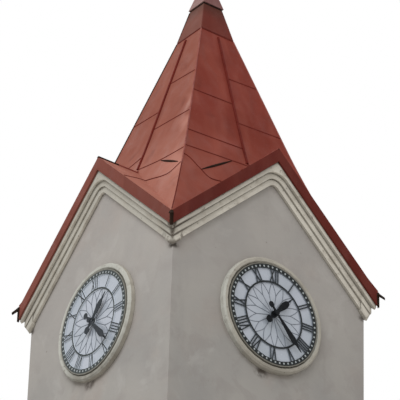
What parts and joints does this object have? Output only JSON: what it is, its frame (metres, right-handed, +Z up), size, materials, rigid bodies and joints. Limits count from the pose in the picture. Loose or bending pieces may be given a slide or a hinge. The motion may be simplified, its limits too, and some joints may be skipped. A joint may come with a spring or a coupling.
{
  "type": "clock tower",
  "caption": "Square stuccoed clock tower with a gable and a skeleton dial on every side, turning hands, and a red sheet-metal bell-cast spire.",
  "frame": {"origin": "on the ground, under the middle of the tower", "axes": "+Z up; -Y out of the front face, the right-hand face in the picture; -X out of the left face"},
  "size_m": [4.5498, 4.5498, 19.215],
  "materials": {
    "stucco": "weathered",
    "cream_stucco": "weathered",
    "red_sheet": "weathered satin",
    "cap_sheet": "faded satin",
    "dark_sheet": "matte",
    "opal_glass": "opal",
    "dial_iron": "painted black",
    "hand_iron": "painted black"
  },
  "bodies": {
    "tower": {"front_wall": "stucco", "front_cornice": "cream_stucco", "front_fascia": "red_sheet", "front_gable_roof": "red_sheet", "front_spire_face": "red_sheet", "front_surround": "cream_stucco", "front_dial_glass": "opal_glass", "front_dial_frame": "dial_iron", "left_wall": "stucco", "left_cornice": "cream_stucco", "left_fascia": "red_sheet", "left_gable_roof": "red_sheet", "left_spire_face": "red_sheet", "left_surround": "cream_stucco", "left_dial_glass": "opal_glass", "left_dial_frame": "dial_iron", "back_wall": "stucco", "back_cornice": "cream_stucco", "back_fascia": "red_sheet", "back_gable_roof": "red_sheet", "back_spire_face": "red_sheet", "back_surround": "cream_stucco", "back_dial_glass": "opal_glass", "back_dial_frame": "dial_iron", "right_wall": "stucco", "right_cornice": "cream_stucco", "right_fascia": "red_sheet", "right_gable_roof": "red_sheet", "right_spire_face": "red_sheet", "right_surround": "cream_stucco", "right_dial_glass": "opal_glass", "right_dial_frame": "dial_iron", "spire_top": "red_sheet", "spire_cap": "cap_sheet", "corner_drips": "dark_sheet"},
    "front_minute": {"front_minute_hand": "hand_iron"},
    "front_hour": {"front_hour_hand": "hand_iron"},
    "left_minute": {"left_minute_hand": "hand_iron"},
    "left_hour": {"left_hour_hand": "hand_iron"},
    "back_minute": {"back_minute_hand": "hand_iron"},
    "back_hour": {"back_hour_hand": "hand_iron"},
    "right_minute": {"right_minute_hand": "hand_iron"},
    "right_hour": {"right_hour_hand": "hand_iron"}
  },
  "joints": [
    {"name": "front_minute_turn", "type": "hinge", "parent": "tower", "child": "front_minute", "pos_m": [0, -2.1, 11.4], "axis": [0, 1, 0], "continuous": true},
    {"name": "front_hour_turn", "type": "hinge", "parent": "tower", "child": "front_hour", "pos_m": [0, -2.1, 11.4], "axis": [0, 1, 0], "continuous": true},
    {"name": "left_minute_turn", "type": "hinge", "parent": "tower", "child": "left_minute", "pos_m": [-2.1, 0, 11.4], "axis": [1, 0, 0], "continuous": true},
    {"name": "left_hour_turn", "type": "hinge", "parent": "tower", "child": "left_hour", "pos_m": [-2.1, 0, 11.4], "axis": [1, 0, 0], "continuous": true},
    {"name": "back_minute_turn", "type": "hinge", "parent": "tower", "child": "back_minute", "pos_m": [0, 2.1, 11.4], "axis": [0, -1, 0], "continuous": true},
    {"name": "back_hour_turn", "type": "hinge", "parent": "tower", "child": "back_hour", "pos_m": [0, 2.1, 11.4], "axis": [0, -1, 0], "continuous": true},
    {"name": "right_minute_turn", "type": "hinge", "parent": "tower", "child": "right_minute", "pos_m": [2.1, 0, 11.4], "axis": [-1, 0, 0], "continuous": true},
    {"name": "right_hour_turn", "type": "hinge", "parent": "tower", "child": "right_hour", "pos_m": [2.1, 0, 11.4], "axis": [-1, 0, 0], "continuous": true}
  ],
  "couplings": [
    {"joint": "front_hour_turn", "follows": "front_minute_turn", "ratio": 0.083333},
    {"joint": "left_minute_turn", "follows": "front_minute_turn", "ratio": 1},
    {"joint": "left_hour_turn", "follows": "front_minute_turn", "ratio": 0.083333},
    {"joint": "back_minute_turn", "follows": "front_minute_turn", "ratio": 1},
    {"joint": "back_hour_turn", "follows": "front_minute_turn", "ratio": 0.083333},
    {"joint": "right_minute_turn", "follows": "front_minute_turn", "ratio": 1},
    {"joint": "right_hour_turn", "follows": "front_minute_turn", "ratio": 0.083333}
  ]
}
